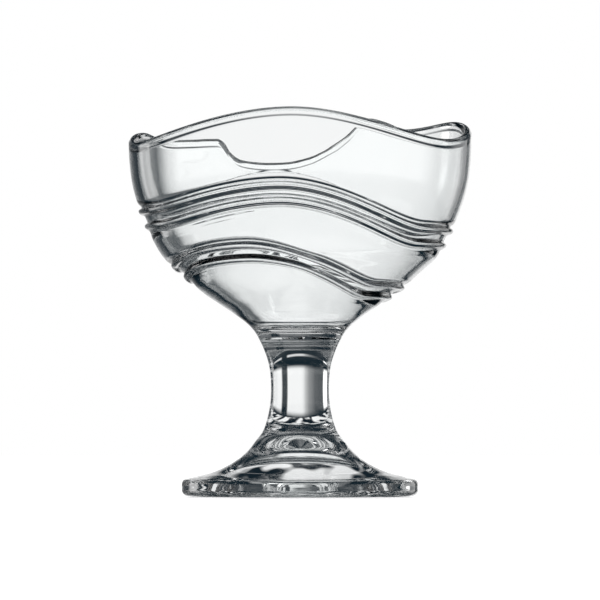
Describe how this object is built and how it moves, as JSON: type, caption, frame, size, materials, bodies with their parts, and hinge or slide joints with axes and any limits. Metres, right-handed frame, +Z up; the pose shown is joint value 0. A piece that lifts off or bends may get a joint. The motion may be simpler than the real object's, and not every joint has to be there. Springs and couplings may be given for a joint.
{
  "type": "dessert glass",
  "caption": "Footed dessert glass in clear pressed glass: open bowl with a waved rim and waved beads, waisted solid stem, round foot hollow underneath. Holds ice cream, fruit or cream desserts.",
  "frame": {"origin": "centre of the foot on the plane that the glass stands on", "axes": "+Z up along the glass's axis, -Y out of the front that the picture shows, +X to the right of that view"},
  "size_m": [0.1054, 0.1053, 0.1191],
  "materials": {
    "clear_glass": "fire polished, clear"
  },
  "bodies": {
    "root": {"bowl": "clear_glass", "stem": "clear_glass", "foot": "clear_glass"}
  },
  "joints": []
}
